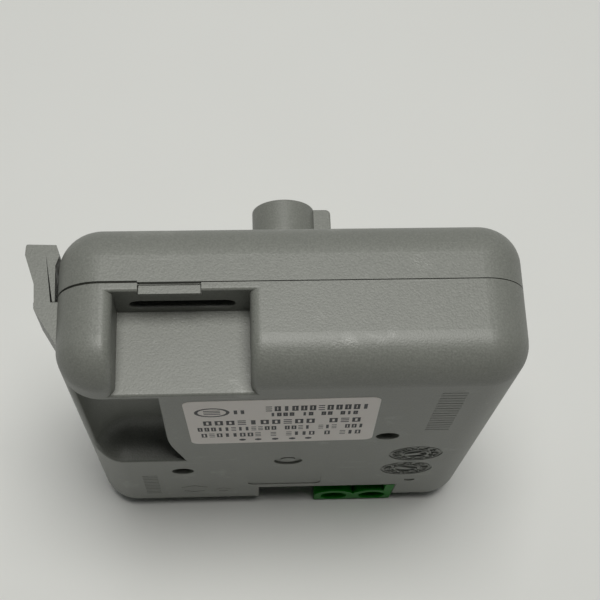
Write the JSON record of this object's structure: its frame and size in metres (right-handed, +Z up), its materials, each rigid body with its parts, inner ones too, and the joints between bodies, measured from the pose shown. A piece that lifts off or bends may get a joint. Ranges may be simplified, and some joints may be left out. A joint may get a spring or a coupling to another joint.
{
  "type": "electronic thermostat control module",
  "caption": "Flat two-part grey case with rounded edges, a notched end with a slot, a finger pocket, a side snap clip, a spindle collar and a screw terminal block.",
  "frame": {"origin": "middle of the far end's flat face, in the plane where the two case halves meet", "axes": "+X to the right as the label side is seen, +Y from the label side to the cover and along its spindle, +Z up the case from the far end to the notched end"},
  "size_m": [0.0988, 0.0546, 0.1064],
  "materials": {
    "case_plastic": "fine spark-eroded texture, satin",
    "label_film": "matte",
    "zinc_steel": "zinc plated",
    "terminal_plastic": "moulded, satin",
    "tinned_brass": "stamped",
    "spindle_plastic": "moulded",
    "black_plastic": "moulded",
    "white_plastic": "moulded",
    "board_laminate": "solder-resist lacquer",
    "relay_plastic": "moulded",
    "copper_winding": "enamelled wire",
    "soft_iron": "nickel plated",
    "yellow_plastic": "moulded",
    "capacitor_sleeve": "shrink sleeve",
    "varistor_epoxy": "dipped",
    "chip_resin": "moulded resin"
  },
  "bodies": {
    "housing": {"base_housing": "case_plastic", "front_cover": "case_plastic", "spindle_collar": "case_plastic", "rating_label": "label_film", "case_screws": "zinc_steel", "terminal_block": "terminal_plastic", "terminal_contacts": "tinned_brass", "potentiometer_body": "black_plastic", "circuit_board": "board_laminate", "relay_cover": "relay_plastic", "relay_base": "black_plastic", "relay_coil": "copper_winding", "relay_yoke": "soft_iron", "relay_contact": "tinned_brass", "film_capacitor": "yellow_plastic", "smoothing_capacitor": "capacitor_sleeve", "fuse": "black_plastic", "varistor": "varistor_epoxy", "choke": "black_plastic", "microcontroller": "chip_resin", "sensor_connector": "white_plastic", "sensor_pins": "tinned_brass", "element_tabs": "tinned_brass"},
    "adjuster": {"adjuster_spindle": "spindle_plastic", "potentiometer_rotor": "white_plastic"},
    "latch": {"side_latch": "case_plastic"},
    "armature": {"relay_armature": "soft_iron"},
    "screw_left": {"terminal_screw_left": "zinc_steel"},
    "screw_right": {"terminal_screw_right": "zinc_steel"},
    "clamp_left": {"wire_clamp_left": "zinc_steel"},
    "clamp_right": {"wire_clamp_right": "zinc_steel"}
  },
  "joints": [
    {"name": "spindle_turn", "type": "hinge", "parent": "housing", "child": "adjuster", "pos_m": [0, 0.02, 0.063], "axis": [0, 1, 0], "range_deg": [-135, 135]},
    {"name": "latch_flex", "type": "hinge", "parent": "housing", "child": "latch", "pos_m": [-0.04745, -0.0005, 0.0924], "axis": [0, 0, -1], "range_deg": [0, 5], "stiffness_Nm_per_rad": 0.8},
    {"name": "armature_tilt", "type": "hinge", "parent": "housing", "child": "armature", "pos_m": [0.031, -0.0029, 0.0407], "axis": [1, 0, 0], "range_deg": [0, 5], "stiffness_Nm_per_rad": 0.05},
    {"name": "screw_turn_left", "type": "hinge", "parent": "housing", "child": "screw_left", "pos_m": [0.0134, -0.01, 0.0049], "axis": [0, 1, 0], "range_deg": [0, 1543]},
    {"name": "clamp_rise_left", "type": "slide", "parent": "housing", "child": "clamp_left", "axis": [0, -1, 0], "range_m": [0, 0.003]},
    {"name": "screw_turn_right", "type": "hinge", "parent": "housing", "child": "screw_right", "pos_m": [0.0234, -0.01, 0.0049], "axis": [0, 1, 0], "range_deg": [0, 1543]},
    {"name": "clamp_rise_right", "type": "slide", "parent": "housing", "child": "clamp_right", "axis": [0, -1, 0], "range_m": [0, 0.003]}
  ],
  "couplings": [
    {"joint": "screw_turn_left", "follows": "clamp_rise_left", "rad_per_m": 8976},
    {"joint": "screw_turn_right", "follows": "clamp_rise_right", "rad_per_m": 8976}
  ]
}
